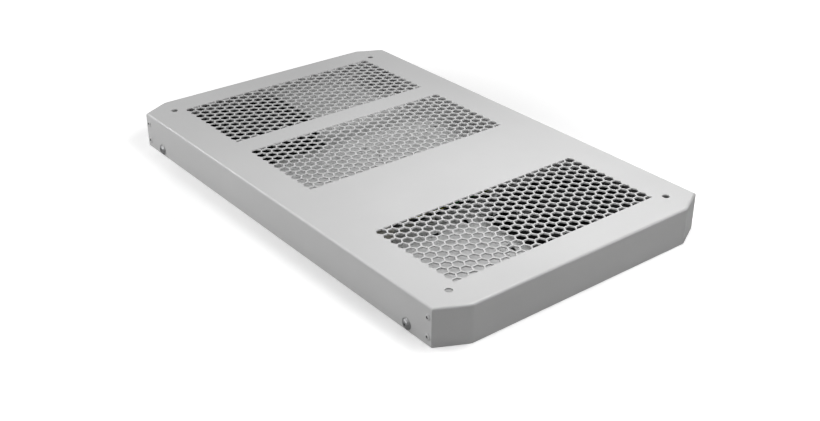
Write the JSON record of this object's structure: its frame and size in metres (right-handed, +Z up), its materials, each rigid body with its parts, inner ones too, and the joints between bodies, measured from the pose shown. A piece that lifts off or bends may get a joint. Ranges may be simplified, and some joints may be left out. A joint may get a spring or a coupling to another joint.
{
  "type": "rack fan tray",
  "caption": "Flat fan tray for a cabinet: perforated sheet-metal hood with cut corners over a base tray that carries axial fans, their guards and wiring.",
  "frame": {"origin": "centre of the underside, at half the length and half the width", "axes": "+X to the right seen from the front, +Y along the length towards the rear, +Z up"},
  "size_m": [0.3452, 0.55, 0.04],
  "materials": {
    "base": "light grey powder coat, fine texture, semi-matt",
    "bearing_steel": "ground steel",
    "block": "off-white polyamide",
    "earth_sheath": "green and yellow striped sheath",
    "fan_frame": "die-cast aluminium, black paint, semi-matt",
    "guard_wire": "bright plated wire",
    "hood": "light grey powder coat, fine texture, semi-matt",
    "impeller": "moulded glass-filled plastic, black",
    "laminations": "varnished electrical steel",
    "lead": "flexible black sheath",
    "magnet_steel": "plain steel ring",
    "plug": "moulded plastic",
    "rivet": "bright aluminium with steel mandrel",
    "rubber": "soft black rubber",
    "tie": "natural nylon",
    "tinned": "tin plating",
    "zinc_steel": "bright zinc plating"
  },
  "bodies": {
    "tray": {"hood": "hood", "base_tray": "base", "corner_rivets": "rivet", "side_screws": "zinc_steel", "side_nuts": "zinc_steel", "fan_studs": "zinc_steel", "fan_nuts": "zinc_steel", "terminal_block": "block", "clamp_screws": "zinc_steel", "block_screws": "zinc_steel", "supply_grommet": "rubber", "earth_stud": "zinc_steel", "earth_lug": "tinned", "earth_washers": "zinc_steel", "earth_nut": "zinc_steel", "earth_lead": "earth_sheath", "cable_ties": "tie", "rear_fan_frame": "fan_frame", "rear_fan_bearings": "bearing_steel", "rear_fan_stator": "laminations", "rear_fan_guard": "guard_wire", "rear_fan_plug": "plug", "rear_fan_lead": "lead", "front_fan_frame": "fan_frame", "front_fan_bearings": "bearing_steel", "front_fan_stator": "laminations", "front_fan_guard": "guard_wire", "front_fan_plug": "plug", "front_fan_lead": "lead"},
    "rear_rotor": {"rear_fan_impeller": "impeller", "rear_fan_rotor": "magnet_steel", "rear_fan_shaft": "bearing_steel"},
    "front_rotor": {"front_fan_impeller": "impeller", "front_fan_rotor": "magnet_steel", "front_fan_shaft": "bearing_steel"}
  },
  "joints": [
    {"name": "rear_fan_spin", "type": "hinge", "parent": "tray", "child": "rear_rotor", "pos_m": [-0.0715, 0.184, 0.015], "axis": [0, 0, 1], "continuous": true},
    {"name": "front_fan_spin", "type": "hinge", "parent": "tray", "child": "front_rotor", "pos_m": [0.0715, -0.1815, 0.015], "axis": [0, 0, 1], "continuous": true}
  ]
}
